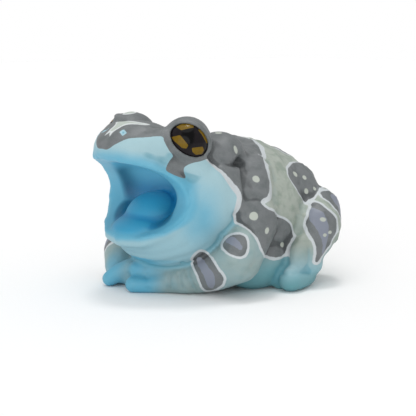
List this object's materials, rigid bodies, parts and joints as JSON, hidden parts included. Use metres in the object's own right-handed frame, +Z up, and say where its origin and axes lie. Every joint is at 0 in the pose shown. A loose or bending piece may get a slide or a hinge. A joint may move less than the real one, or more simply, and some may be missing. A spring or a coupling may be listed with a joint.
{
  "type": "toy frog figure",
  "caption": "Hand-painted vinyl toy of an Amazon milk frog, crouched with its mouth wide open, hands tucked under the chin and legs folded.",
  "frame": {"origin": "bottom centre of the bounding box, on the floor plane", "axes": "-Y the way the frog faces, +X its left side, +Z up"},
  "size_m": [0.067, 0.0822, 0.0574],
  "materials": {
    "painted_skin": "satin hand paint, pale blue with grey and white markings",
    "painted_back": "satin hand paint, grey green with dark grey bands edged in white",
    "mouth_paint": "satin airbrushed blue",
    "glossy_eye": "gloss black with gold blocks"
  },
  "bodies": {
    "root": {"head": "painted_skin", "lower_jaw": "painted_skin", "tongue": "mouth_paint", "torso": "painted_back", "eye_left": "glossy_eye", "eye_right": "glossy_eye", "upper_arm_left": "painted_back", "upper_arm_right": "painted_back", "forearm_left": "painted_back", "forearm_right": "painted_back", "hand_left": "painted_skin", "hand_right": "painted_skin", "thigh_left": "painted_back", "thigh_right": "painted_back", "shank_left": "painted_back", "shank_right": "painted_back", "foot_left": "painted_skin", "foot_right": "painted_skin"}
  },
  "joints": []
}
